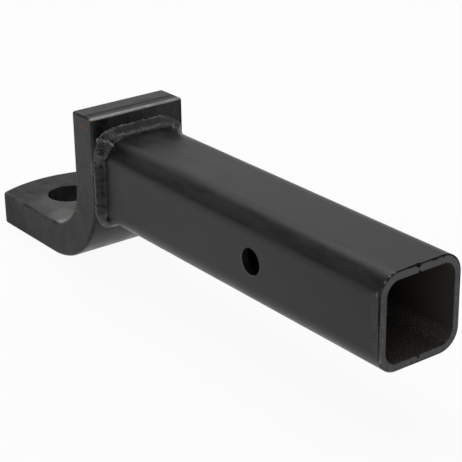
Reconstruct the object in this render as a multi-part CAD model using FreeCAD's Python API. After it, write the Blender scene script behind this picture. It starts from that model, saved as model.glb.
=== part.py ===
import FreeCAD, Part
import math
import os

from FreeCAD import Vector

# A welded hitch ball mount: a hollow square shank that slides into a trailer receiver, and a
# thick flat bar, bent once, that carries the ball. Four weld passes join the two.
#
# Frame: the origin is the centre of the cross-drilled pin hole, on the shank's own axis.
# +X runs along the shank to its open mouth, +Y along the pin hole to the left, and +Z is up.
# All lengths are in millimetres and all angles in degrees.

# Shank: cold-formed square tube, sawn square at both ends.
tube_width = 63.5
tube_wall = 5.4
tube_corner_radius = 14.5
pin_to_mouth = 117.5
pin_to_bar = 167.3
mouth_edge_break = 0.9

# Cross-drilled hole for the receiver's pin.
pin_hole_diameter = 17.5
pin_hole_chamfer = 0.5

# Seam of the tube, near the middle of its top wall: a trimmed flash inside.
seam_flash_width = 2.4
seam_flash_height = 0.5
seam_offset = -2.5

# Chips in the mouth's rim: outside and inside at the seam, and one below where the saw broke through.
seam_chip_radius = 2.4
seam_chip_depth = 1.7
bore_chip_radius = 1.5
bore_chip_depth = 0.8
bore_chip_offset = -1.6
lower_chip_radius = 2.6
lower_chip_depth = 0.7
lower_chip_offset = 1.8

# Bar: one piece of flat steel with rolled edges, its leg upright and its tongue level.
bar_width = 76.2
bar_thickness = 25.4
bar_edge_radius = 2.2
cut_end_edge_radius = 1.5
leg_top_height = 48.6
tongue_top_drop = 45.5
bend_inner_radius = 38.0
bend_outer_radius = 62.0
pin_to_tip = 310.0
tip_arc_radius = 93.0
tip_corner_radius = 3.5
tip_sawing_allowance = 5.0

# Hole for the hitch ball's shank, drilled down through the tongue.
pin_to_ball_hole = 267.0
ball_hole_diameter = 32.5
ball_hole_chamfer = 0.5

# Fillet weld passes, measured from the root: up the bar's face and along the tube.
top_weld_rise = 8.4
top_weld_reach = 6.0
side_weld_rise = 5.8
side_weld_reach = 4.5
bottom_weld_rise = 6.4
bottom_weld_reach = 6.4
top_weld_crown = 0.55
side_weld_crown = 0.72
bottom_weld_crown = 0.60
weld_ripple_pitch = 7.2
weld_ripple_share = 0.04
weld_root_depth = 2.6
weld_face_steps = (0, 0.3, 0.7, 1)
weld_wrap_share = 0.85
weld_stop_swell = 0.30
weld_stop_length = 7.0

# What follows from the sizes above.
tube_half = tube_width / 2
tube_bore_half = tube_half - tube_wall
tube_bore_radius = tube_corner_radius - tube_wall
tube_flat = tube_width - 2 * tube_corner_radius
tube_length = pin_to_mouth + pin_to_bar
bar_half = bar_width / 2
bar_front = -pin_to_bar
bar_back = bar_front - bar_thickness
tongue_top = -tongue_top_drop
tongue_bottom = tongue_top - bar_thickness
corner_arc = tube_corner_radius * math.pi / 2


def box(x_low, x_high, y_low, y_high, z_low, z_high):
    return Part.makeBox(x_high - x_low, y_high - y_low, z_high - z_low, Vector(x_low, y_low, z_low))


def rounded_square_face(half, radius, x):
    """A square of that half width with rounded corners, standing at x and facing +X."""
    block = box(x, x + 1, -half, half, -half, half)
    along_x = [e for e in block.Edges if abs(e.Vertexes[0].X - e.Vertexes[1].X) > 0.5]
    rounded = block.makeFillet(radius, along_x)
    return next(f for f in rounded.Faces if abs(f.CenterOfMass.x - x) < 1e-6)


def prism(face, length):
    """The face, pushed along +X by that length."""
    return face.extrude(Vector(length, 0, 0))


def drilled_hole(radius, chamfer, start, direction, length):
    """What a drill and a countersink at both faces take out."""
    hole = Part.makeCylinder(radius, length, start, direction)
    wide = radius + chamfer
    near = Part.makeCone(wide, radius, chamfer, start, direction)
    far_start = start + direction * (length - chamfer)
    far = Part.makeCone(radius, wide, chamfer, far_start, direction)
    return hole.fuse([near, far]).removeSplitter()


def shank_tube():
    outside = prism(rounded_square_face(tube_half, tube_corner_radius, bar_front), tube_length)
    mouth_rim = [e for e in outside.Edges if min(v.X for v in e.Vertexes) > pin_to_mouth - 1e-6]
    outside = outside.makeChamfer(mouth_edge_break, mouth_rim)
    bore = prism(rounded_square_face(tube_bore_half, tube_bore_radius, bar_front), tube_length)
    flash = seam_flash(bar_front, tube_length - seam_chip_radius)
    tube = outside.cut(bore.cut(flash))
    for wall_side in (1, -1):
        start = Vector(0, wall_side * tube_half, 0)
        inward = Vector(0, -wall_side, 0)
        tube = tube.cut(drilled_hole(pin_hole_diameter / 2, pin_hole_chamfer, start, inward, tube_wall))
    return tube.cut([
        mouth_chip(seam_chip_radius, seam_chip_depth, seam_offset, tube_half),
        mouth_chip(bore_chip_radius, bore_chip_depth, bore_chip_offset, tube_bore_half),
        mouth_chip(lower_chip_radius, lower_chip_depth, lower_chip_offset, -tube_half),
    ])


def seam_flash(x, length):
    """The low, round-topped ridge that the seam leaves under the top wall."""
    half = seam_flash_width / 2
    low = Vector(x, seam_offset, tube_bore_half - seam_flash_height)
    left = Vector(x, seam_offset + half, tube_bore_half)
    right = Vector(x, seam_offset - half, tube_bore_half)
    outline = Part.Wire([Part.Arc(left, low, right).toShape(), Part.makeLine(right, left)])
    return Part.Face(outline).extrude(Vector(length, 0, 0))


def mouth_chip(radius, depth, across, height):
    """A small round-bottomed hollow in the mouth's rim."""
    return Part.makeSphere(radius, Vector(pin_to_mouth + radius - depth, across, height))


def bar_profile():
    """Side view of the bent bar: the bend is thinner than the flats, because its outside stretched."""
    inner_x = bar_back - bend_inner_radius
    inner_z = tongue_top + bend_inner_radius
    outer_x = bar_front - bend_outer_radius
    outer_z = tongue_bottom + bend_outer_radius
    diagonal = math.sqrt(0.5)
    tip = -pin_to_tip - tip_sawing_allowance

    def at(x, z):
        return Vector(x, -bar_half, z)

    inner_mid = at(inner_x + bend_inner_radius * diagonal, inner_z - bend_inner_radius * diagonal)
    outer_mid = at(outer_x + bend_outer_radius * diagonal, outer_z - bend_outer_radius * diagonal)
    return Part.Wire([
        Part.makeLine(at(bar_back, leg_top_height), at(bar_front, leg_top_height)),
        Part.makeLine(at(bar_front, leg_top_height), at(bar_front, outer_z)),
        Part.Arc(at(bar_front, outer_z), outer_mid, at(outer_x, tongue_bottom)).toShape(),
        Part.makeLine(at(outer_x, tongue_bottom), at(tip, tongue_bottom)),
        Part.makeLine(at(tip, tongue_bottom), at(tip, tongue_top)),
        Part.makeLine(at(tip, tongue_top), at(inner_x, tongue_top)),
        Part.Arc(at(inner_x, tongue_top), inner_mid, at(bar_back, inner_z)).toShape(),
        Part.makeLine(at(bar_back, inner_z), at(bar_back, leg_top_height)),
    ])


def tip_waste():
    """What is sawn off the tongue to leave its end an arc in plan."""
    disc_x = -pin_to_tip + tip_arc_radius
    low = tongue_bottom - tip_sawing_allowance
    high = tongue_top + tip_sawing_allowance
    disc = Part.makeCylinder(tip_arc_radius, high - low, Vector(disc_x, 0, low))
    block = box(-pin_to_tip - 2 * tip_sawing_allowance, disc_x, -bar_width, bar_width, low, high)
    return block.cut(disc)


def tip_corner_x():
    """Where the end's arc meets the bar's sides."""
    return -pin_to_tip + tip_arc_radius - math.sqrt(tip_arc_radius ** 2 - bar_half ** 2)


def is_at(edge, axis, value):
    """True if the whole edge lies at that value on the axis."""
    bounds = edge.BoundBox
    low, high = {
        "x": (bounds.XMin, bounds.XMax),
        "y": (bounds.YMin, bounds.YMax),
        "z": (bounds.ZMin, bounds.ZMax),
    }[axis]
    return abs(low - value) < 1e-3 and abs(high - value) < 1e-3


def ball_platform():
    bar = Part.Face(bar_profile()).extrude(Vector(0, bar_width, 0))
    bar = bar.cut(tip_waste())
    tip_corners = [e for e in bar.Edges if is_at(e, "x", tip_corner_x())]
    bar = bar.makeFillet(tip_corner_radius, tip_corners)
    rolled = [e for e in bar.Edges if (is_side_edge(e) or is_tip_edge(e)) and not is_tip_upright(e)]
    rolled = [e for e in rolled if not is_at(e, "z", leg_top_height)]
    bar = bar.makeFillet(bar_edge_radius, rolled)
    cut_end = [e for e in bar.Edges if is_at(e, "z", leg_top_height)]
    bar = bar.makeFillet(cut_end_edge_radius, cut_end)
    start = Vector(-pin_to_ball_hole, 0, tongue_top)
    down = Vector(0, 0, -1)
    return bar.cut(drilled_hole(ball_hole_diameter / 2, ball_hole_chamfer, start, down, bar_thickness))


def is_side_edge(edge):
    return is_at(edge, "y", bar_half) or is_at(edge, "y", -bar_half)


def is_tip_edge(edge):
    """Edges round the tongue's end, on its top and its underside."""
    level = is_at(edge, "z", tongue_top) or is_at(edge, "z", tongue_bottom)
    return level and edge.BoundBox.XMax < -pin_to_ball_hole and not is_side_edge(edge)


def is_tip_upright(edge):
    """The lines where the tongue's rounded corners meet its flat sides."""
    bounds = edge.BoundBox
    return bounds.XMax < -pin_to_ball_hole and bounds.XMax - bounds.XMin < 1e-3


def bar_face_x(z):
    """Where the bar's front face is at that height: it falls away once the bend begins."""
    outer_z = tongue_bottom + bend_outer_radius
    if z >= outer_z:
        return bar_front
    return bar_front - bend_outer_radius + math.sqrt(bend_outer_radius ** 2 - (z - outer_z) ** 2)


def around_tube(distance):
    """The point on the tube's outline that far round from the middle of the top, going by the
    left side (+Y), with the outward direction there. Distances past the bottom go on up the right."""
    side = tube_flat + corner_arc
    quarter = math.floor((distance + side / 2) / side)
    along = distance - quarter * side
    half_flat = tube_flat / 2
    if abs(along) <= half_flat:
        turn, offset = 0.0, along
    else:
        turn = math.copysign((abs(along) - half_flat) / tube_corner_radius, along)
        offset = math.copysign(half_flat, along)
    core = tube_half - tube_corner_radius
    base = math.radians(-90 * quarter)
    outward = Vector(0, math.sin(turn - base), math.cos(turn - base))
    middle = Vector(0, offset, core)
    centre = Vector(0, middle.y * math.cos(base) - middle.z * math.sin(base),
                    middle.y * math.sin(base) + middle.z * math.cos(base))
    return centre + outward * tube_corner_radius, outward


def weld_section(distance, rise, reach, crown):
    """A slice across the bead: its toes on the bar and the tube, its face, and its root in the joint.
    A crown of 0.5 is a flat face; more is a full bead and less a hollow one."""
    point, outward = around_tube(distance)
    toe_height = point.z + outward.z * rise
    root = Vector(bar_face_x(toe_height), point.y, point.z)
    along = Vector(1, 0, 0)
    tube_toe_x = bar_front + reach
    bar_toe = root + outward * rise
    tube_toe = Vector(tube_toe_x, root.y, root.z)
    width = tube_toe - bar_toe
    bulge = (outward * rise + along * (tube_toe_x - root.x)) * (crown - 0.5)
    face = [bar_toe + width * s + bulge * (4 * s * (1 - s)) for s in weld_face_steps]
    tube_toe_inside = tube_toe - outward * weld_root_depth
    root_inside = root - along * weld_root_depth - outward * weld_root_depth
    bar_toe_inside = bar_toe - along * weld_root_depth
    return Part.makePolygon([*face, tube_toe_inside, root_inside, bar_toe_inside, face[0]])


def weld_pass(start, end, middle_size, end_size, crown):
    """One rippled bead laid round the tube from start to end, its size given as rise and reach.
    It swells and shrinks once a ripple, and ends in the lump that is left where the arc stops."""
    length = abs(end - start)
    ripples = round(length / weld_ripple_pitch)
    sections = []
    for step in range(2 * ripples + 1):
        laid = length * step / (2 * ripples)
        distance = start + math.copysign(laid, end - start)
        blend = min(1, min(laid, length - laid) / corner_arc)
        swell = 1 + weld_ripple_share * (1 if step % 2 else -1)
        swell += weld_stop_swell * math.exp(-((length - laid - weld_stop_length) / weld_stop_length) ** 2)
        rise, reach = [swell * (e + (m - e) * blend) for m, e in zip(middle_size, end_size)]
        sections.append(weld_section(distance, rise, reach, crown))
    return Part.makeLoft(sections, True, True)


def weld_passes():
    """The four beads, in the order in which they go round the tube. The upper and lower ones wrap
    the corners, and the two upright ones fill in between them."""
    quarter_turn = tube_flat + corner_arc
    wrap = tube_flat / 2 + corner_arc * weld_wrap_share
    top_size = (top_weld_rise, top_weld_reach)
    side_size = (side_weld_rise, side_weld_reach)
    bottom_size = (bottom_weld_rise, bottom_weld_reach)
    return {
        "weld_top": weld_pass(wrap, -wrap, top_size, side_size, top_weld_crown),
        "weld_left_side": weld_pass(wrap, 2 * quarter_turn - wrap, side_size, side_size, side_weld_crown),
        "weld_bottom": weld_pass(2 * quarter_turn - wrap, 2 * quarter_turn + wrap,
                                 bottom_size, side_size, bottom_weld_crown),
        "weld_right_side": weld_pass(2 * quarter_turn + wrap, 4 * quarter_turn - wrap,
                                     side_size, side_size, side_weld_crown),
    }


def main():
    os.makedirs("parts", exist_ok=True)
    tube = shank_tube()
    bar = ball_platform()
    nodes = {"shank_tube": tube, "ball_platform": bar}
    for name, bead in weld_passes().items():
        nodes[name] = bead.cut(list(nodes.values()))
    for name, shape in nodes.items():
        shape.exportStep(f"parts/{name}.step")
        print(name, shape.isValid(), len(shape.Solids), round(shape.Volume), len(shape.Faces))


main()
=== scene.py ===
import math

import bpy
from mathutils import Matrix, Vector, noise


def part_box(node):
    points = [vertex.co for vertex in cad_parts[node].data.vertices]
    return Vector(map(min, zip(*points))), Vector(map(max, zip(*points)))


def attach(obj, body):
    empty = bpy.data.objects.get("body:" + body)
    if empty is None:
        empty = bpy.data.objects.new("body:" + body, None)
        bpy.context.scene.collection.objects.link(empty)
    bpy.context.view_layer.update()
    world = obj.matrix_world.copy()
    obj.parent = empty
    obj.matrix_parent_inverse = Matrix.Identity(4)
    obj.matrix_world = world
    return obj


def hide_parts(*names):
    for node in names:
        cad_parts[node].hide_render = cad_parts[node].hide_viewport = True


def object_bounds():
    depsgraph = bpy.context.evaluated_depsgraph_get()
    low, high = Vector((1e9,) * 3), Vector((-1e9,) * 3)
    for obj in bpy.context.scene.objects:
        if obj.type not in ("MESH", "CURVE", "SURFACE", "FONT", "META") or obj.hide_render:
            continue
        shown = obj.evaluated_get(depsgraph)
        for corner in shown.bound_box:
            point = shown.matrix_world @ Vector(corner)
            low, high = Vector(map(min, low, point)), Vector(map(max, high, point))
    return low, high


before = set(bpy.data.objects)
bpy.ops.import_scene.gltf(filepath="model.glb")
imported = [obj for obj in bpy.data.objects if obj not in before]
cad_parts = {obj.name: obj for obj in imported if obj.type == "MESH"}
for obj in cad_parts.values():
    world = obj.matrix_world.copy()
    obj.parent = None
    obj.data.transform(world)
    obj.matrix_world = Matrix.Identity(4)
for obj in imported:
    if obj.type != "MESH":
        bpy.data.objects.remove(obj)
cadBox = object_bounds()
bpy.ops.object.select_all(action="DESELECT")
mm = 0.001

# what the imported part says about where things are
tubeLow, tubeHigh = [Vector(corner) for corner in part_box("shank_tube")]
barLow, barHigh = [Vector(corner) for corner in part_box("ball_platform")]
tubeHalf = tubeHigh.z
barFront = tubeLow.x
mouth = tubeHigh.x
barSide = barHigh.y
legTop = barHigh.z
platformTop = barLow.z + 25.4 * mm


def hexColour(text):
    channels = [int(text[i:i + 2], 16) / 255 for i in (1, 3, 5)]
    linear = [c / 12.92 if c <= 0.04045 else ((c + 0.055) / 1.055) ** 2.4 for c in channels]
    return (*linear, 1.0)


def addNode(tree, kind, settings=None, links=None):
    node = tree.nodes.new(kind)
    for name, value in (settings or {}).items():
        if isinstance(name, str) and hasattr(node, name):
            setattr(node, name, value)
        else:
            node.inputs[name].default_value = value
    for name, source in (links or {}).items():
        tree.links.new(source, node.inputs[name])
    return node


def newMaterial(name):
    material = bpy.data.materials.new(name)
    material.use_nodes = True
    material.node_tree.nodes.clear()
    return material, material.node_tree


# camera, worked out from the photograph's perspective

cameraSettings = {
    "lensMm": 118.97,
    "azimuth": 53.155,  # degrees, 0 looks along +Y
    "elevation": 23.213,
    "roll": -0.884,
    "place": Vector((0.677120, -0.553344, 0.387363)),
}


def setCamera(settings):
    data = bpy.data.cameras.new("camera")
    data.sensor_width = 36
    data.lens = settings["lensMm"]
    data.clip_start = 0.05
    camera = bpy.data.objects.new("camera", data)
    turn = Matrix.Rotation(math.radians(settings["azimuth"]), 4, "Z")
    tip = Matrix.Rotation(math.radians(90 - settings["elevation"]), 4, "X")
    roll = Matrix.Rotation(math.radians(settings["roll"]), 4, "Z")
    camera.matrix_world = Matrix.Translation(settings["place"]) @ turn @ tip @ roll
    bpy.context.scene.collection.objects.link(camera)
    bpy.context.scene.camera = camera


setCamera(cameraSettings)
bpy.context.scene.view_settings.view_transform = "Standard"
print("camera placed")


# studio: a bright sweep behind, a softbox above, pale paper below, and a weak lamp in front

studioSettings = {
    "backdropWay": Vector((-0.85, 0.42, 0.27)),  # from the object to the bright side
    "bright": 0.75,
    "dim": 0.18,
    "falloff": 3.0,
    "softboxWatts": 15,
    "softboxSize": 1.6,
    "softboxPlace": Vector((-0.5, 0.35, 1.5)),
    "fillWatts": 3.0,
    "fillSize": 1.2,
    "fillPlace": Vector((0.9, -1.3, 0.5)),
    "floorSize": 30.0,
    "floorGlow": 0.94,  # share of the floor that shows as paper white, the rest takes the shadow
    # a painted shadow on the floor, seen only in the steel: its place, its size and the mirrored glow inside it
    "paintedShadowPlace": (-0.29, -0.08, 0),
    "paintedShadowSize": (0.10, 0.05, 1),
    "paintedShadowShine": 0.15,
    "floorShine": 0.86,  # the same where the floor is seen mirrored in the steel
}


def setWorld(settings):
    world = bpy.data.worlds.new("studio")
    bpy.context.scene.world = world
    world.use_nodes = True
    tree = world.node_tree
    tree.nodes.clear()
    way = addNode(tree, "ShaderNodeTexCoord").outputs["Generated"]
    facing = addNode(tree, "ShaderNodeVectorMath",
                     {"operation": "DOT_PRODUCT", 1: settings["backdropWay"].normalized()}, {0: way})
    toward = addNode(tree, "ShaderNodeMath", {"operation": "MAXIMUM", 1: 0.0}, {0: facing.outputs["Value"]})
    share = addNode(tree, "ShaderNodeMath", {"operation": "POWER", 1: settings["falloff"]},
                    {0: toward.outputs["Value"]})
    light = addNode(tree, "ShaderNodeMapRange", {"To Min": settings["dim"], "To Max": settings["bright"]},
                    {"Value": share.outputs["Value"]})
    background = addNode(tree, "ShaderNodeBackground", {"Strength": 1.0}, {"Color": light.outputs["Result"]})
    addNode(tree, "ShaderNodeOutputWorld", None, {"Surface": background.outputs["Background"]})


def addSoftbox(name, watts, size, place, target):
    data = bpy.data.lights.new(name, "AREA")
    data.energy = watts
    data.shape = "DISK"
    data.size = size
    lamp = bpy.data.objects.new(name, data)
    lamp.location = place
    lamp.rotation_euler = (target - place).to_track_quat("-Z", "Y").to_euler()
    bpy.context.scene.collection.objects.link(lamp)


def paperSweep(settings):
    material, tree = newMaterial("matt_white_paper")
    paper = addNode(tree, "ShaderNodeBsdfDiffuse", {"Color": hexColour("#f4f4f4")})
    glow = addNode(tree, "ShaderNodeEmission", {"Color": (1, 1, 1, 1), "Strength": 1.0})
    path = addNode(tree, "ShaderNodeLightPath")
    mirrored = addNode(tree, "ShaderNodeMath", {"operation": "MAXIMUM"},
                       {0: path.outputs["Is Glossy Ray"], 1: path.outputs["Is Transmission Ray"]})
    # painted shadow: where the floor is mirrored in the steel, its glow is dimmed in a patch in front of the
    # platform, standing in for the shade of a flag that keeps the light off it
    floorPlace = addNode(tree, "ShaderNodeMapping",
                         {"vector_type": "TEXTURE", "Location": settings["paintedShadowPlace"],
                          "Scale": settings["paintedShadowSize"]},
                         {"Vector": addNode(tree, "ShaderNodeTexCoord").outputs["Object"]})
    away = addNode(tree, "ShaderNodeVectorMath", {"operation": "LENGTH"},
                   {"Vector": floorPlace.outputs["Vector"]})
    shine = addNode(tree, "ShaderNodeMapRange",
                    {"interpolation_type": "SMOOTHSTEP", "From Min": 0.4, "From Max": 1.4,
                     "To Min": settings["paintedShadowShine"], "To Max": settings["floorShine"]},
                    {"Value": away.outputs["Value"]})
    mirroredShare = addNode(tree, "ShaderNodeMath", {"operation": "MULTIPLY"},
                            {0: mirrored.outputs["Value"], 1: shine.outputs["Result"]})
    share = addNode(tree, "ShaderNodeMath",
                    {"operation": "MULTIPLY_ADD", "use_clamp": True, 1: settings["floorGlow"]},
                    {0: path.outputs["Is Camera Ray"], 2: mirroredShare.outputs["Value"]})
    mixed = addNode(tree, "ShaderNodeMixShader", None,
                    {0: share.outputs["Value"], 1: paper.outputs["BSDF"], 2: glow.outputs["Emission"]})
    addNode(tree, "ShaderNodeOutputMaterial", None, {"Surface": mixed.outputs["Shader"]})
    return material


def addFloor(settings):
    bpy.ops.mesh.primitive_plane_add(size=settings["floorSize"], location=(0, 0, barLow.z - 0.0002))
    floor = bpy.context.active_object
    floor.name = "floor"
    floor.data.materials.append(paperSweep(settings))
    bpy.ops.object.select_all(action="DESELECT")


middle = (Vector(cadBox[0]) + Vector(cadBox[1])) / 2
setWorld(studioSettings)
addSoftbox("softbox", studioSettings["softboxWatts"], studioSettings["softboxSize"],
           studioSettings["softboxPlace"], middle)
addSoftbox("fill", studioSettings["fillWatts"], studioSettings["fillSize"], studioSettings["fillPlace"], middle)
addFloor(studioSettings)
print("studio set")


# finishes

def shareOf(tree, value, span, unit=mm):
    # 0 at the span's first value, 1 at its second, smooth between
    return addNode(tree, "ShaderNodeMapRange",
                   {"interpolation_type": "SMOOTHSTEP", "From Min": span[0] * unit, "From Max": span[1] * unit},
                   {"Value": value}).outputs["Result"]


def maths(tree, operation, first, second=0.0, third=0.0):
    node = addNode(tree, "ShaderNodeMath", {"operation": operation})
    for socket, source in enumerate((first, second, third)):
        if isinstance(source, (int, float)):
            node.inputs[socket].default_value = source
        else:
            tree.links.new(source, node.inputs[socket])
    return node.outputs["Value"]


def product(tree, *shares):
    result = shares[0]
    for share in shares[1:]:
        result = maths(tree, "MULTIPLY", result, share)
    return result


def cloudNoise(tree, place, sizeMm, detail=3.0, stretch=(1, 1, 1)):
    # a noise whose blotches are about that many mm across, longer along an axis stretched by more than 1
    scaled = addNode(tree, "ShaderNodeMapping", {"vector_type": "TEXTURE", "Scale": stretch}, {"Vector": place})
    return addNode(tree, "ShaderNodeTexNoise", {"Scale": 1 / (sizeMm * mm), "Detail": detail, "Roughness": 0.6},
                   {"Vector": scaled.outputs["Vector"]}).outputs["Fac"]


def blotches(tree, place, sizeMm, detail, span, stretch=(1, 1, 1)):
    # patches of 0 and 1, parted where the noise passes through the span
    return shareOf(tree, cloudNoise(tree, place, sizeMm, detail, stretch), span, 1)


def mark(tree, surface, share, colour=None, rough=None, raiseMm=None):
    # lays a mark over the surface, in full where the share is 1
    if colour is not None:
        surface["colour"] = addNode(tree, "ShaderNodeMix", {"data_type": "RGBA", "B": hexColour(colour)},
                                    {"Factor": share, "A": surface["colour"]}).outputs["Result"]
    if rough is not None:
        surface["rough"] = addNode(tree, "ShaderNodeMix", {"data_type": "FLOAT", "B": rough},
                                   {"Factor": share, "A": surface["rough"]}).outputs["Result"]
    if raiseMm is not None:
        surface["height"] = maths(tree, "MULTIPLY_ADD", share, raiseMm * mm, surface["height"])


def spotShare(tree, place, centreMm, radiusMm, stretch=(1, 1, 1), ragged=0.8):
    # a ragged spot round a place on the surface
    centred = addNode(tree, "ShaderNodeMapping",
                      {"vector_type": "TEXTURE", "Location": Vector(centreMm) * mm, "Scale": stretch},
                      {"Vector": place}).outputs["Vector"]
    far = addNode(tree, "ShaderNodeVectorMath", {"operation": "LENGTH"}, {"Vector": centred}).outputs["Value"]
    uneven = maths(tree, "SUBTRACT", cloudNoise(tree, place, 1.3, 2.0), 0.5)
    grit = maths(tree, "MULTIPLY", uneven, ragged * radiusMm * 2.4 * mm)
    return shareOf(tree, maths(tree, "ADD", far, grit), (radiusMm, 0.55 * radiusMm))


def lineShare(tree, place, startMm, endMm, widthMm):
    # near the straight line between two places
    start, end = Vector(startMm) * mm, Vector(endMm) * mm
    way = (end - start).normalized()
    fromStart = addNode(tree, "ShaderNodeVectorMath", {"operation": "SUBTRACT", 1: start},
                        {0: place}).outputs["Vector"]
    along = addNode(tree, "ShaderNodeVectorMath", {"operation": "DOT_PRODUCT", 1: way},
                    {0: fromStart}).outputs["Value"]
    kept = addNode(tree, "ShaderNodeClamp", {"Min": 0.0, "Max": (end - start).length},
                   {"Value": along}).outputs["Result"]
    foot = addNode(tree, "ShaderNodeVectorMath", {"operation": "SCALE", 0: way},
                   {"Scale": kept}).outputs["Vector"]
    off = addNode(tree, "ShaderNodeVectorMath", {"operation": "DISTANCE"},
                  {0: fromStart, 1: foot}).outputs["Value"]
    return shareOf(tree, off, (widthMm, 0.4 * widthMm))


def axesOf(tree, place):
    axes = addNode(tree, "ShaderNodeSeparateXYZ", None, {"Vector": place})
    return axes.outputs["X"], axes.outputs["Y"], axes.outputs["Z"]


def tubeSkin(tree, y, z, radius):
    # height above the tube's outer skin, below zero in its wall and its hollow
    core = tubeHalf - radius
    side = maths(tree, "SUBTRACT", maths(tree, "ABSOLUTE", y), core)
    up = maths(tree, "SUBTRACT", maths(tree, "ABSOLUTE", z), core)
    outside = addNode(tree, "ShaderNodeCombineXYZ", None,
                      {"X": maths(tree, "MAXIMUM", side, 0.0),
                       "Y": maths(tree, "MAXIMUM", up, 0.0)}).outputs["Vector"]
    corner = addNode(tree, "ShaderNodeVectorMath", {"operation": "LENGTH"},
                     {"Vector": outside}).outputs["Value"]
    inside = maths(tree, "MINIMUM", maths(tree, "MAXIMUM", side, up), 0.0)
    return maths(tree, "SUBTRACT", maths(tree, "ADD", corner, inside), radius)


coatSettings = {
    "colour": "#111212",
    "paleColour": "#222324",
    "ior": 1.36,
    "roughness": 0.36,
    "roughnessSpread": 0.08,
    "grainMm": 0.9,
    "grainHighMm": 0.02,
    "cloudMm": 13.0,
    "cloudStretch": (2.2, 1, 1),
    "cloudSpan": (0.3, 0.7),
}


def satinBlackCoat(name, settings, layMarks):
    # electrocoated steel, dipped black: satin, with a faint grain from the mill scale under it.
    # layMarks adds what happened to the piece since, to the surface's colour, roughness and height
    material, tree = newMaterial(name)
    place = addNode(tree, "ShaderNodeTexCoord").outputs["Object"]
    cloud = cloudNoise(tree, place, settings["cloudMm"], 4.0, settings["cloudStretch"])
    low, high = settings["cloudSpan"]
    middleRough, spread = settings["roughness"], settings["roughnessSpread"]
    grain = cloudNoise(tree, place, settings["grainMm"], 3.0)
    surface = {
        "colour": addNode(tree, "ShaderNodeMix",
                          {"data_type": "RGBA", "A": hexColour(settings["colour"]),
                           "B": hexColour(settings["paleColour"])},
                          {"Factor": shareOf(tree, cloud, (low, high), 1)}).outputs["Result"],
        "rough": addNode(tree, "ShaderNodeMapRange",
                         {"From Min": low, "From Max": high, "To Min": middleRough - spread,
                          "To Max": middleRough + spread},
                         {"Value": cloud}).outputs["Result"],
        "height": maths(tree, "MULTIPLY", grain, settings["grainHighMm"] * mm),
    }
    layMarks(tree, place, surface)
    bump = addNode(tree, "ShaderNodeBump", {"Strength": 1.0, "Distance": 1.0}, {"Height": surface["height"]})
    steel = addNode(tree, "ShaderNodeBsdfPrincipled", {"IOR": settings["ior"]},
                    {"Base Color": surface["colour"], "Roughness": surface["rough"],
                     "Normal": bump.outputs["Normal"]})
    addNode(tree, "ShaderNodeOutputMaterial", None, {"Surface": steel.outputs["BSDF"]})
    return material


# marks on the tube: its sawn mouth with painted shade and glints, its dusty inside painted paler as if lit,
# painted light near the weld, the drilled hole and a few scratches

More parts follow.
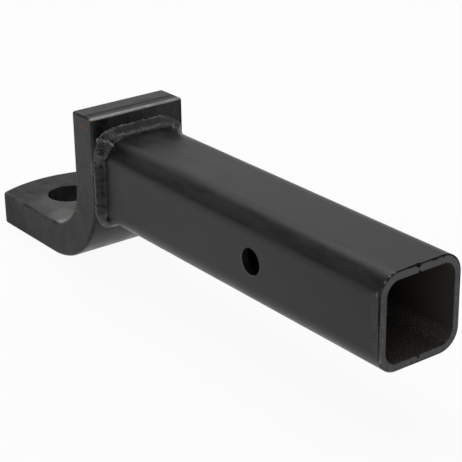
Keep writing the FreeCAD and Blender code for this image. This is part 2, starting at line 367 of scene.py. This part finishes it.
tubeMarks = {
    "cornerRadiusMm": 14.5,
    "sawnColour": "#404143",
    # the inside's brown scale, painted paler to stand in for light reaching inside
    "insideScaleAndPaintedLightColour": "#3b3834",
    "dustColour": "#98928a",
    "rustColour": "#4c3626",
    # painted light: the side walls are painted paler near the weld
    "paintedLightNearWeldColour": "#303031",
    # paler colour for the streaks along the corners and for the painted highlight behind the mouth
    "paleAndHighlightColour": "#2c2d2d",
    "topRimColour": "#56575a",
    "boreColour": "#232221",
    # painted shade for the crease, the chips and the broken edge at the mouth
    "mouthShadeColour": "#050505",
    # bright colour for the painted glints on the burrs, also used on the pin hole's lower rim
    "glintAndPaleRimColour": "#737578",
    "scratchColour": "#3a3a3a",
    "bareRough": 0.95,
    "insideRough": 0.8,
    "dustVeil": 0.16,  # share of dust between the specks
    "dustHighMm": 0.12,
    "sawLineHighMm": 0.05,
    # heights above the outer skin, in mm: where the inside begins, the skin itself, the broken edge, the
    # hole's rim
    "insideSkin": (-4.9, -5.3),
    "outerSkin": (-0.4, -0.2),
    "edgeSkin": (-1.55, -1.15),
    "ringSkin": (-0.9, -0.6),
    # distances behind the mouth
    "sawnBehind": (0.35, 0.1),
    "edgeBehind": (1.05, 0.9),
    "highlightBehind": (9, 4),
    # how far over to the far side the broken edge is painted dark as shade and dull: slanted that much, then
    # where the dashes start
    "edgeSlant": 0.55,
    "edgeFar": (8, 18),
    "edgeDashed": (3, 6),
    # heights: where dust lies, the rim's pale top, the side's pale strip painted as a highlight, the side
    # painted paler as light near the weld
    "lowHeight": (-17, -26),
    "rimTopHeight": (18, 24),
    "highlightHeight": (26, 20),
    "paintedLightHeight": (24, 16),
    "paintedLightAhead": (16, 4),  # of the bar
    # distances from the pin hole's axis
    "boreFrom": (9.35, 9.05),
    "ringFrom": (8.85, 9.05),
    "ringTo": (9.55, 9.25),
    "ringLower": (-1, -7),
    # turn round the tube's corner, in radians
    "cornerStreakFrom": (0.55, 0.75),
    "cornerStreakTo": (1.22, 1.08),
    # patches: size in mm, detail, span of the noise, stretch
    "dustSpecks": (1.1, 1.0, (0.60, 0.68)),
    "rustSpecks": (2.6, 2.0, (0.60, 0.74)),
    "rimPatches": (3.0, 3.0, (0.45, 0.62)),
    "edgeDashes": (5.0, 1.0, (0.42, 0.5)),
    "cornerStreakPatches": (7.0, 4.0, (0.36, 0.56), (6, 1, 1)),
    "highlightPatches": (3.0, 3.0, (0.36, 0.56), (1, 1, 2)),
    "sawLines": (0.8, 2.0, (1, 8, 1)),
    "burrs": [((117.2, -30.8, 24.3), 1.1), ((114.5, -31.7, 20.4), 1.3), ((117.2, -30.2, -20.8), 1.2),
              ((117.2, -30.6, -17.5), 0.7), ((116.7, -27.6, 27.8), 0.9), ((116.7, -24.0, 30.4), 0.9),
              ((116.7, -20.5, 31.4), 0.7)],
    "chips": [((117.0, -2.5, 31.0), 2.0), ((117.4, -1.6, 27.0), 1.3), ((117.4, -0.8, -27.2), 1.4),
              ((117.2, -5.6, -31.2), 1.7), ((117.2, -1.6, -31.0), 1.3)],
    "creases": [((116.9, -31.75, 20.5), (116.9, -31.75, 2.0), 1.1),
                ((116.9, -31.75, 2.0), (116.9, -31.75, -14.0), 0.45),
                ((117.0, -10.0, 31.75), (117.0, -1.0, 31.75), 1.1),
                ((117.0, 6.0, 31.75), (117.0, 17.0, 31.75), 0.6)],
    "scratches": [((70.3, -9.6, 31.75), (66.0, -15.0, 31.75), 0.4),
                  ((69.5, -26.5, 30.4), (66.5, -23.0, 31.0), 0.4)],
}


def markTube(tree, place, surface):
    settings = tubeMarks
    x, y, z = axesOf(tree, place)
    high = maths(tree, "ABSOLUTE", z)
    behind = maths(tree, "SUBTRACT", mouth, x)
    skin = tubeSkin(tree, y, z, settings["cornerRadiusMm"] * mm)
    onSkin = shareOf(tree, skin, settings["outerSkin"])
    # the inside never got much coating: brown-black scale, painted paler to stand in for light reaching inside,
    # with pale dust and rust specks lying low
    inside = shareOf(tree, skin, settings["insideSkin"])
    low = shareOf(tree, z, settings["lowHeight"])
    dust = blotches(tree, place, *settings["dustSpecks"])
    rust = blotches(tree, place, *settings["rustSpecks"])
    mark(tree, surface, inside, settings["insideScaleAndPaintedLightColour"], settings["insideRough"])
    mark(tree, surface, product(tree, dust, low, inside), settings["dustColour"])
    mark(tree, surface, product(tree, low, inside, settings["dustVeil"]), settings["dustColour"])
    mark(tree, surface, product(tree, rust, low, inside), settings["rustColour"])
    mark(tree, surface, product(tree, dust, inside), raiseMm=settings["dustHighMm"])
    # the saw left the rim flat and a little bluer, with fine lines across it; the rim is also paler towards its
    # top and in patches
    sawn = shareOf(tree, behind, settings["sawnBehind"])
    rim = product(tree, sawn, maths(tree, "SUBTRACT", 1.0, inside))
    pale = maths(tree, "MAXIMUM", shareOf(tree, z, settings["rimTopHeight"]),
                 blotches(tree, place, *settings["rimPatches"]))
    mark(tree, surface, rim, settings["sawnColour"])
    mark(tree, surface, product(tree, rim, pale, 0.8), settings["topRimColour"])
    sawLines = cloudNoise(tree, place, *settings["sawLines"])
    mark(tree, surface, product(tree, sawLines, sawn), raiseMm=settings["sawLineHighMm"])
    # its broken outer edge is painted dark as shade and dull on the far side, and in dashes on the near one
    slant = maths(tree, "SUBTRACT", y, maths(tree, "MULTIPLY", z, settings["edgeSlant"]))
    dashes = product(tree, shareOf(tree, y, settings["edgeDashed"]),
                     blotches(tree, place, *settings["edgeDashes"]))
    far = maths(tree, "MAXIMUM", shareOf(tree, slant, settings["edgeFar"]), dashes)
    broken = product(tree, shareOf(tree, behind, settings["edgeBehind"]),
                     shareOf(tree, skin, settings["edgeSkin"]), far)
    mark(tree, surface, product(tree, broken, 0.8), settings["mouthShadeColour"])
    mark(tree, surface, broken, rough=settings["bareRough"])
    # the near wall is pressed in a little behind the rim: its crease and the chips in the edge are painted dark
    # as shade, and its burrs get painted glints
    for start, end, width in settings["creases"]:
        mark(tree, surface, lineShare(tree, place, start, end, width), settings["mouthShadeColour"],
             settings["bareRough"])
    for centre, radius in settings["chips"]:
        mark(tree, surface, spotShare(tree, place, centre, radius), settings["mouthShadeColour"],
             settings["bareRough"])
    # painted glints: the burrs are painted bright where they catch the light
    for centre, radius in settings["burrs"]:
        mark(tree, surface, spotShare(tree, place, centre, radius, (1, 1, 1.6)), settings["glintAndPaleRimColour"])
    for start, end, width in settings["scratches"]:
        mark(tree, surface, lineShare(tree, place, start, end, width), settings["scratchColour"])
    # along each corner the rounding is painted with paler streaky patches
    core = tubeHalf - settings["cornerRadiusMm"] * mm
    sideways = maths(tree, "SUBTRACT", maths(tree, "ABSOLUTE", y), core)
    turn = maths(tree, "ARCTAN2", sideways, maths(tree, "SUBTRACT", high, core))
    cornerStreak = product(tree, shareOf(tree, turn, settings["cornerStreakFrom"], 1),
                     shareOf(tree, turn, settings["cornerStreakTo"], 1),
                     onSkin, blotches(tree, place, *settings["cornerStreakPatches"]))
    mark(tree, surface, cornerStreak, settings["paleAndHighlightColour"])
    # and the side is painted paler just behind the mouth, a painted highlight where the pressed-out wall
    # catches the light
    paleAndPaintedHighlight = product(tree, shareOf(tree, behind, settings["highlightBehind"]), onSkin,
                     shareOf(tree, high, settings["highlightHeight"]),
                     blotches(tree, place, *settings["highlightPatches"]))
    mark(tree, surface, paleAndPaintedHighlight, settings["paleAndHighlightColour"])
    # painted light: the side walls are painted paler near the weld, to lift the dark reflection of the bead
    # there
    ahead = maths(tree, "SUBTRACT", x, barFront)
    paintedLightNearWeld = product(tree, shareOf(tree, ahead, settings["paintedLightAhead"]), onSkin,
                     shareOf(tree, z, settings["paintedLightHeight"]))
    mark(tree, surface, paintedLightNearWeld, settings["paintedLightNearWeldColour"])
    # the drilled wall of the pin hole is dark, and the lower rim on the bar's side shows bare
    across = addNode(tree, "ShaderNodeCombineXYZ", None, {"X": x, "Z": z}).outputs["Vector"]
    bore = addNode(tree, "ShaderNodeVectorMath", {"operation": "LENGTH"}, {"Vector": across}).outputs["Value"]
    mark(tree, surface, shareOf(tree, bore, settings["boreFrom"]), settings["boreColour"])
    ring = product(tree, shareOf(tree, bore, settings["ringFrom"]), shareOf(tree, bore, settings["ringTo"]),
                   shareOf(tree, maths(tree, "ADD", x, z), settings["ringLower"]),
                   shareOf(tree, skin, settings["ringSkin"]))
    mark(tree, surface, product(tree, ring, 0.8), settings["glintAndPaleRimColour"])


# marks on the bar: the worn front edge of its leg with a painted highlight, the sheared top, small chips that
# have begun to rust, and painted shade and highlights

barMarks = {
    # pale colour for the leg's front edge: worn coat and a painted highlight
    "wornEdgeAndHighlightColour": "#a09e9b",
    "rustColour": "#7a6150",
    "brownColour": "#4a3a2f",
    "smearColour": "#3d464b",
    # painted shade for the far edges and for the band behind the leg's front edge
    "barShadeColour": "#0b0b0b",
    "dipMm": 1.0,
    "dipLengthMm": 5.0,
    "streaks": (1.5, 4.0, (1, 16, 1)),
    "streakHighMm": 0.16,
    "streakSpan": (0.52, 0.66),
    "streakRough": 0.55,
    "rustRough": 0.85,
    "tipRough": 0.56,
    "farRough": 0.9,
    "bandRough": 0.62,
    # distances below the leg's top, ahead of the bar's face, in from a side and below the platform's top, in mm
    "topBelow": (0.6, 0.2),
    "edgeBelow": (1.4, 0.8),
    "edgeAhead": (-5, -2.0),
    "bandFrom": (-13, -10),
    "bandTo": (-6, -8.5),
    "farAhead": (-3.5, -2.5),
    "farIn": (2.6, 1.8),
    "lipIn": (2.4, 1.6),
    "lipFrom": (-225, -235),
    "offSide": (0.1, 0.6),
    # patches: size in mm, detail, span of the noise, stretch
    "lipPatches": (6.0, 4.0, (0.32, 0.60), (3, 1, 1)),
    "edgePatches": (5.0, 4.0, (0.25, 0.62), (1, 3, 1)),
    "rustSpots": [((-181.2, -38.1, 40.6), 1.6), ((-177.4, -38.1, 40.2), 1.5), ((-173.6, -38.1, 40.0), 1.2),
                  ((-197.2, -38.1, -23.8), 2.6), ((-194.4, -38.1, -26.6), 1.7)],
    "brownSpots": [((-171.0, -38.0, 47.6), 2.2), ((-188.0, -38.0, 47.6), 1.6)],
    "smears": [((-191.5, -38.1, -27.0), 4.0)],
    "dull": (-258, -290),
    # paler colour for rubbed coat and painted highlights on the platform
    "rubbedAndHighlightColour": "#8a8884",
    # where the platform is painted paler, partly rubbed coat and partly a painted highlight: middle, radius,
    # stretch, share
    "paleAndPaintedHighlight": [((-219.0, -34.5, -43.0), 4.0, (2.4, 1.2, 1.3), 0.9),
               ((-232.0, -25.0, -45.0), 12.0, (1.3, 1.2, 0.6), 0.30),
               ((-258.0, -15.0, -45.5), 18.0, (1.2, 1, 0.5), 0.14)],
}


def markBar(tree, place, surface):
    settings = barMarks
    x, y, z = axesOf(tree, place)
    ahead = maths(tree, "SUBTRACT", x, barFront)
    below = maths(tree, "SUBTRACT", legTop, z)
    # the shears drew the leg's end down at the front and left long streaks on it
    top = shareOf(tree, below, settings["topBelow"])
    streak = cloudNoise(tree, place, *settings["streaks"])
    mark(tree, surface, product(tree, streak, top), raiseMm=settings["streakHighMm"])
    drawn = addNode(tree, "ShaderNodeMapRange", {"From Min": -settings["dipLengthMm"] * mm, "From Max": 0.0},
                    {"Value": ahead}).outputs["Result"]
    mark(tree, surface, product(tree, drawn, drawn, top), raiseMm=-settings["dipMm"])
    mark(tree, surface, product(tree, shareOf(tree, streak, settings["streakSpan"], 1), top),
         rough=settings["streakRough"])
    offSide = shareOf(tree, maths(tree, "ADD", y, barSide), settings["offSide"])
    # paler spots on the platform: partly rubbed coat, partly a painted highlight in the inner bend
    for centre, radius, stretch, share in settings["paleAndPaintedHighlight"]:
        spot = spotShare(tree, place, centre, radius, stretch, 0.3)
        mark(tree, surface, product(tree, spot, offSide, share), settings["rubbedAndHighlightColour"])
    for centre, radius in settings["smears"]:
        mark(tree, surface, product(tree, spotShare(tree, place, centre, radius), 0.6), settings["smearColour"])
    for centre, radius in settings["brownSpots"]:
        mark(tree, surface, spotShare(tree, place, centre, radius), settings["brownColour"])
    for centre, radius in settings["rustSpots"]:
        rust = spotShare(tree, place, centre, radius, (1.5, 1, 1))
        mark(tree, surface, rust, settings["rustColour"], settings["rustRough"])
    # the platform is duller towards its tip, and its top edges are painted paler, partly rubbed and partly a
    # painted highlight
    mark(tree, surface, product(tree, shareOf(tree, x, settings["dull"]), 0.8), rough=settings["tipRough"])
    fromSide = maths(tree, "SUBTRACT", barSide, maths(tree, "ABSOLUTE", y))
    underTop = maths(tree, "SUBTRACT", platformTop, z)
    lip = product(tree, shareOf(tree, fromSide, settings["lipIn"]), shareOf(tree, underTop, settings["lipIn"]),
                  shareOf(tree, x, settings["lipFrom"]), blotches(tree, place, *settings["lipPatches"]))
    mark(tree, surface, product(tree, lip, 0.25), settings["rubbedAndHighlightColour"])
    # the far edges are painted dark as shade, and made rough
    fromFarSide = maths(tree, "SUBTRACT", barSide, y)
    far = product(tree, shareOf(tree, fromFarSide, settings["farIn"]),
                  shareOf(tree, ahead, settings["farAhead"]))
    mark(tree, surface, far, settings["barShadeColour"], settings["farRough"])
    # a band behind the leg's front edge is painted darker as shade, and rougher; then the edge itself, where
    # the coat is rubbed thin, is painted paler as wear and as a highlight
    band = product(tree, shareOf(tree, ahead, settings["bandFrom"]), shareOf(tree, ahead, settings["bandTo"]),
                   top)
    mark(tree, surface, product(tree, band, 0.9), settings["barShadeColour"])
    mark(tree, surface, product(tree, band, 0.8), rough=settings["bandRough"])
    # the front edge: thin coat rubbed pale, and a painted highlight
    edge = product(tree, shareOf(tree, ahead, settings["edgeAhead"]),
                   shareOf(tree, below, settings["edgeBelow"]))
    patchy = maths(tree, "MULTIPLY_ADD", blotches(tree, place, *settings["edgePatches"]), 0.60, 0.40)
    mark(tree, surface, product(tree, edge, edge, patchy), settings["wornEdgeAndHighlightColour"])


def dressNode(nodeName, material):
    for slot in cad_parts[nodeName].material_slots:
        slot.material = material


# weld: the part's four passes gathered into the one ring that they melted into, remeshed finely,
# and given the skin that the torch left

weldSettings = {
    "nodes": ["weld_top", "weld_left_side", "weld_bottom", "weld_right_side"],
    "voxelMm": 0.4,
    "cornerRadiusMm": 14.5,  # of the tube
    "bendRadiusMm": 62.0,  # of the bar's outside, where its face falls away from the tube's end
    "sinkMm": 0.45,  # how far the ring is let into the steel, so that no gap shows
    "ringMm": 36.5,  # radius of a circle as long as the way round the tube
    "skinMm": 9,  # the bead's skin counts as this wide
    "ridged": (-42, -18),  # the stretch round the tube that has the ridges
    # round the tube from the middle of its top, below zero on the near side: where, rise up the bar,
    # reach along the tube, fullness
    "stations": [(-114.5, 6.4, 6.6, 1.2), (-95, 6.4, 6.2, 1.2), (-89, 7.0, 5.6, 1.6), (-80, 6.6, 4.7, 2.1),
                 (-67, 6.6, 4.5, 2.1), (-45, 6.6, 4.5, 2.1), (-38, 6.4, 4.8, 2.0), (-32, 8.0, 6.6, 1.5),
                 (-26, 10.0, 6.6, 1.2), (-18, 8.7, 6.0, 1.1), (0, 8.7, 5.8, 1.1), (20, 8.7, 5.8, 1.15),
                 (30, 8.0, 5.6, 1.3), (38, 6.4, 5.0, 1.5), (57, 6.0, 4.8, 1.5), (80, 6.2, 5.2, 1.4),
                 (95, 6.4, 6.2, 1.2), (114.5, 6.4, 6.6, 1.2)],
    # long forms that run with the bead: from, to, across (0 at the bar, 1 at the tube), its spread, how
    # far out, in mm
    "runs": [(-22, 34, 0.09, 0.08, 1.2), (-22, 32, 0.38, 0.15, -0.9), (-20, 36, 0.75, 0.13, 0.75),
             (-82, -38, 1.0, 0.20, 0.9), (-82, -40, 0.20, 0.12, 0.4), (-95, -80, 0.42, 0.12, 0.7),
             (-94, -80, 0.85, 0.14, -1.1), (-38, -26, 1.0, 0.08, 1.1), (40, 75, 0.3, 0.15, 0.4),
             (96, 114, 0.5, 0.2, 0.4), (-114, -96, 0.5, 0.2, 0.4)],
    # single lumps and hollows: where round the tube, across, spread round, spread across, how far out
    "lumps": [(-29.5, 0.04, 1.6, 0.12, 0.6), (-31.8, 0.50, 3.0, 0.34, -1.3), (-22.0, 0.50, 2.5, 0.2, 0.5),
              (-85.0, 0.90, 2.2, 0.16, -1.6), (24.0, 0.75, 5.0, 0.25, 0.5), (4.0, 0.7, 3.5, 0.2, 0.35),
              (-11.0, 0.72, 3.5, 0.2, 0.4)],
    # where the arc was stopped, a hooked ridge with streaks inside it: places, width, how far out
    "ridges": [([(-29.0, 0.0), (-27.5, 0.35), (-26.0, 0.60), (-26.2, 0.95)], 1.0, 0.9),
               ([(-26.2, 0.95), (-30.0, 1.0), (-33.5, 1.0), (-36.5, 0.92)], 0.9, 0.8),
               ([(-32.0, 0.10), (-28.0, 0.55)], 0.8, 0.3), ([(-33.4, 0.15), (-28.5, 0.75)], 0.8, 0.3),
               ([(-34.8, 0.25), (-30.0, 0.80)], 0.8, 0.25), ([(-35.6, 0.30), (-36.3, 0.70)], 0.7, 0.6),
               ([(-30.2, 0.12), (-28.4, 0.42)], 0.7, -0.7), ([(-24.8, 0.60), (-24.0, 0.85)], 0.9, -0.9)],
    "smooth": (-84, -40, 0.7),  # from, to, and how much of the weave and ripples the near bead lacks
    "weaveMm": 7.5,
    "weaveHighMm": 0.22,
    "rippleMm": 1.8,
    "rippleHighMm": 0.12,
    "raggedMm": 0.75,
    "lumpyMm": 0.40,
    "grainMm": 0.09,
}


def aroundTube(y, z, settings):
    # distance round the tube from the middle of its top, below zero on the near side, height above its skin,
    # and the way out
    radius = settings["cornerRadiusMm"] * mm
    core = tubeHalf - radius
    side, up = abs(y), abs(z)
    gap = Vector((max(side - core, 0), max(up - core, 0)))
    inset = min(max(side, up) - core, 0)
    height = gap.length + inset - radius
    wayOut = Vector((math.copysign(gap.x, y), math.copysign(gap.y, z))).normalized()
    if gap.x > 0 and gap.y > 0:
        distance = core + radius * math.atan2(gap.x, gap.y)
    elif gap.x > 0:
        distance = core + radius * math.pi / 2 + core - up
    else:
        distance = side
    if z < 0:
        distance = 4 * core + radius * math.pi - distance
    return math.copysign(distance, y), height, wayOut


def barFace(z, settings):
    # the bar's front face is flat down to the bend and then curves away
    radius = settings["bendRadiusMm"] * mm
    bendTop = barLow.z + radius
    if z >= bendTop:
        return barFront
    return barFront - radius + math.sqrt(max(0, radius ** 2 - (bendTop - z) ** 2))


def stationAt(distanceMm, stations):
    for first, second in zip(stations, stations[1:]):
        if distanceMm <= second[0]:
            share = max(0, (distanceMm - first[0]) / (second[0] - first[0]))
            share = share * share * (3 - 2 * share)
            return [a + (b - a) * share for a, b in zip(first[1:], second[1:])]
    return stations[-1][1:]


def runShare(distanceMm, start, end, softMm=4.0):
    first = min(1, max(0, (distanceMm - start) / softMm))
    last = min(1, max(0, (end - distanceMm) / softMm))
    return first * first * (3 - 2 * first) * last * last * (3 - 2 * last)


def fromLine(place, places, skinMm):
    # distance on the bead's skin to a line through places, in mm
    here = Vector((place[0], skinMm * place[1]))
    nearest = math.inf
    for first, second in zip(places, places[1:]):
        start = Vector((first[0], skinMm * first[1]))
        way = Vector((second[0] - first[0], skinMm * (second[1] - first[1])))
        share = min(1, max(0, (here - start).dot(way) / way.length_squared))
        nearest = min(nearest, (here - start - way * share).length)
    return nearest


def beadSize(distanceMm, across, settings):
    # how far the bead's skin is from the corner between bar and tube
    rise, reach, fullness = stationAt(distanceMm, settings["stations"])
    ring = settings["ringMm"]
    around = Vector((math.sin(distanceMm / ring), math.cos(distanceMm / ring), 0)) * ring
    rise += settings["raggedMm"] * noise.noise(around / 2.6)
    reach += settings["raggedMm"] * noise.noise(around / 3.4 + Vector((0, 0, 9)))
    angle = across * math.pi / 2
    up, along = max(math.cos(angle), 1e-6) / rise, max(math.sin(angle), 1e-6) / reach
    plain = (up ** fullness + along ** fullness) ** (-1 / fullness)
    body = math.sin(math.pi * across) ** 0.5 if 0 < across < 1 else 0
    for start, end, place, spread, out in settings["runs"]:
        uneven = 0.8 + 0.7 * noise.noise(around / 5 + Vector((0, 0, 20 * place)))
        plain += out * uneven * runShare(distanceMm, start, end) * math.exp(-((across - place) / spread) ** 2)
    for where, place, spreadRound, spreadAcross, out in settings["lumps"]:
        offRound, offAcross = (distanceMm - where) / spreadRound, (across - place) / spreadAcross
        plain += out * math.exp(-offRound ** 2 - offAcross ** 2)
    if settings["ridged"][0] < distanceMm < settings["ridged"][1]:
        for places, width, out in settings["ridges"]:
            plain += out * math.exp(-(fromLine((distanceMm, across), places, settings["skinMm"]) / width) ** 2)
    bow = 1.6 * body
    weave = math.sin(2 * math.pi * (distanceMm + bow) / settings["weaveMm"] + 2 * noise.noise(around / 8))
    ripple = abs(math.sin(math.pi * (distanceMm + 1.4 * bow) / settings["rippleMm"])) - 0.6
    start, end, less = settings["smooth"]
    body *= 1 - less * runShare(distanceMm, start, end)
    plain += body * (settings["weaveHighMm"] * weave + settings["rippleHighMm"] * ripple)
    skinPlace = around + Vector((0, 0, settings["skinMm"] * across))
    plain += body * settings["lumpyMm"] * noise.noise(skinPlace / 3.2 + Vector((5, 0, 0)))
    plain += settings["grainMm"] * noise.noise(skinPlace / 0.9)
    return plain


def layWeld(settings):
    copies = []
    for nodeName in settings["nodes"]:
        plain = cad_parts[nodeName]
        piece = plain.copy()
        piece.data = plain.data.copy()
        bpy.context.scene.collection.objects.link(piece)
        copies.append(piece)
    bpy.ops.object.select_all(action="DESELECT")
    for piece in copies:
        piece.select_set(True)
    weld = copies[0]
    bpy.context.view_layer.objects.active = weld
    bpy.ops.object.join()
    weld.name = "weld_ring"
    bpy.ops.object.mode_set(mode="EDIT")
    bpy.ops.mesh.select_all(action="SELECT")
    bpy.ops.mesh.remove_doubles(threshold=0.00001)
    bpy.ops.object.mode_set(mode="OBJECT")
    remesh = weld.modifiers.new("fine skin", "REMESH")
    remesh.mode = "VOXEL"
    remesh.voxel_size = settings["voxelMm"] * mm
    bpy.ops.object.modifier_apply(modifier=remesh.name)
    places = []
    for vertex in weld.data.vertices:
        x, y, z = vertex.co
        distance, height, wayOut = aroundTube(y, z, settings)
        reach = x - barFace(z, settings)
        angle = math.atan2(max(reach, 0), max(height, 1e-7))
        radial = Vector((math.sin(angle), wayOut.x * math.cos(angle), wayOut.y * math.cos(angle)))
        foot = Vector((y, z)) - wayOut * height
        if vertex.normal.dot(radial) > 0.25 and height > -0.3 * mm and reach > -0.3 * mm:
            size = beadSize(distance / mm, angle / (math.pi / 2), settings) * mm
            height, reach = size * math.cos(angle), size * math.sin(angle)
        height -= settings["sinkMm"] * mm
        reach -= settings["sinkMm"] * mm
        y, z = foot + wayOut * height
        places.extend((barFace(z, settings) + reach, y, z))
    weld.data.vertices.foreach_set("co", places)
    weld.data.update()
    bpy.ops.object.shade_smooth()
    bpy.ops.object.select_all(action="DESELECT")
    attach(weld, "root")
    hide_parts(*settings["nodes"])
    print("weld laid,", len(weld.data.polygons), "faces")
    return weld


# marks on the weld, each place given as distance round the tube and share of the way across the bead

weldMarks = {
    "shadeColour": "#141415",
    # pale colour for thin coat and for painted highlights on ridges and lips
    "paleColour": "#8c8e92",
    # painted shade in the bead's hollows
    "pitShadeColour": "#060606",
    "wornPatches": (1.2, 3.0, (0.36, 0.58)),
    # the near bead: distances out from the tube's side and ahead of the bar, and its upper and lower
    # ends, in mm
    "nearOut": (0.2, 0.8),
    "nearAhead": (0.6, 1.4),
    "nearTop": (20, 12),
    "nearBottom": (-27, -20),
    # where the coat is thin, and where ridges and lips are painted pale as highlights: places joined by lines,
    # then the width and the share of pale colour
    "bareAndHighlightLines": [([(34, 0.75), (20, 0.73), (0, 0.70), (-22, 0.72)], 1.1, 0.22),
                  ([(31, 0.06), (18, 0.10), (4, 0.10)], 1.0, 0.8),
                  ([(-4, 0.10), (-14, 0.10), (-24, 0.12)], 1.0, 0.8),
                  ([(-29.0, 0.03), (-27.5, 0.35), (-26.0, 0.60), (-26.2, 0.95)], 1.2, 0.7),
                  ([(-26.2, 0.95), (-30.0, 1.0), (-33.5, 1.0), (-36.5, 0.92), (-46.0, 0.98)], 0.8, 0.65),
                  ([(-28.5, 0.03), (-25.5, 0.04), (-22.0, 0.05)], 0.8, 0.8),
                  ([(-32.0, 0.10), (-28.0, 0.55)], 0.6, 0.4), ([(-33.0, 0.15), (-28.5, 0.75)], 0.6, 0.4),
                  ([(-34.0, 0.25), (-30.0, 0.80)], 0.6, 0.35), ([(-35.6, 0.30), (-36.3, 0.70)], 0.7, 0.45),
                  ([(-23.5, 0.48), (-19.5, 0.55)], 2.2, 0.35), ([(-21.5, 0.93), (-17.0, 0.88)], 0.9, 0.6),
                  ([(-55, 0.10), (-70, 0.10), (-84, 0.18)], 0.9, 0.25),
                  ([(-82, 0.45), (-90, 0.48), (-96, 0.5)], 0.9, 0.45)],
    "bareAndHighlightSpots": [((-29.2, 0.05), 1.2), ((-26.2, 0.80), 1.3), ((25.0, 0.72), 1.5), ((27.0, 0.30), 1.0)],
    # hollows painted dark as shade: where, radius, share
    "pits": [((-31.5, 0.45), 4.2, 0.8), ((-29.6, 0.22), 0.9, 0.7), ((-28.6, 0.38), 0.9, 0.7),
             ((-24.4, 0.72), 1.2, 0.9), ((-33.8, 0.50), 2.6, 0.5), ((-26.5, 0.16), 1.3, 0.7),
             ((-84.5, 0.88), 2.6, 1.0), ((-39.5, 0.15), 1.0, 0.9), ((-42.0, 0.60), 1.6, 0.6)],
}


def markWeld(tree, place, surface):
    settings = weldMarks
    x, y, z = axesOf(tree, place)
    # the near bead, laid downhill, is smoother than the rest, and is painted darker as shade
    near = product(tree, shareOf(tree, maths(tree, "SUBTRACT", -tubeHalf, y), settings["nearOut"]),
                   shareOf(tree, maths(tree, "SUBTRACT", x, barFront), settings["nearAhead"]),
                   shareOf(tree, z, settings["nearTop"]), shareOf(tree, z, settings["nearBottom"]))
    mark(tree, surface, product(tree, near, 0.9), settings["shadeColour"])
    for (distance, across), radius, share in settings["pits"]:
        pit = product(tree, spotShare(tree, place, beadPlace(distance, across), radius), share)
        mark(tree, surface, pit, settings["pitShadeColour"], 0.9)
    worn = blotches(tree, place, *settings["wornPatches"])
    # pale lines and spots: partly thin coat, partly painted highlights on ridges and lips
    for places, widthMm, share in settings["bareAndHighlightLines"]:
        points = [beadPlace(distance, across) for distance, across in places]
        for start, end in zip(points, points[1:]):
            bareAndHighlight = lineShare(tree, place, start, end, widthMm)
            mark(tree, surface, product(tree, bareAndHighlight, worn, share), settings["paleColour"])
    for (distance, across), radius in settings["bareAndHighlightSpots"]:
        spot = spotShare(tree, place, beadPlace(distance, across), radius)
        mark(tree, surface, product(tree, spot, 0.8), settings["paleColour"])


def beadPlace(distanceMm, across):
    # the place on the finished bead's skin, in mm
    radius = weldSettings["cornerRadiusMm"]
    core = tubeHalf / mm - radius
    arc = radius * math.pi / 2
    left = abs(distanceMm)
    side = math.copysign(1, distanceMm)
    if left < core:
        foot, wayOut = Vector((left, tubeHalf / mm)), Vector((0, 1))
    elif left < core + arc:
        wayOut = Vector((math.sin((left - core) / radius), math.cos((left - core) / radius)))
        foot = Vector((core, core)) + wayOut * radius
    elif left < 3 * core + arc:
        foot, wayOut = Vector((tubeHalf / mm, core - (left - core - arc))), Vector((1, 0))
    elif left < 3 * core + 2 * arc:
        turn = (left - 3 * core - arc) / radius
        wayOut = Vector((math.cos(turn), -math.sin(turn)))
        foot = Vector((core, -core)) + wayOut * radius
    else:
        foot, wayOut = Vector((4 * core + 2 * arc - left, -tubeHalf / mm)), Vector((0, -1))
    size = beadSize(distanceMm, across, weldSettings)
    angle = across * math.pi / 2
    y, z = foot + wayOut * (size * math.cos(angle) - weldSettings["sinkMm"])
    return barFace(z * mm, weldSettings) / mm + size * math.sin(angle) - weldSettings["sinkMm"], side * y, z


barSettings = {**coatSettings, "ior": 1.30, "paleColour": "#38393a", "cloudMm": 9.0,
               "cloudStretch": (1, 1, 1.6)}
weldCoatSettings = {**coatSettings, "ior": 1.38, "roughness": 0.40, "colour": "#414243",
                    "paleColour": "#505153"}
tubeCoat = satinBlackCoat("electrocoated_tube", coatSettings, markTube)
barCoat = satinBlackCoat("electrocoated_bar", barSettings, markBar)
weldCoat = satinBlackCoat("electrocoated_weld", weldCoatSettings, markWeld)
weld = layWeld(weldSettings)
weld.data.materials.clear()
weld.data.materials.append(weldCoat)
dressNode("shank_tube", tubeCoat)
dressNode("ball_platform", barCoat)
print("finishes on")
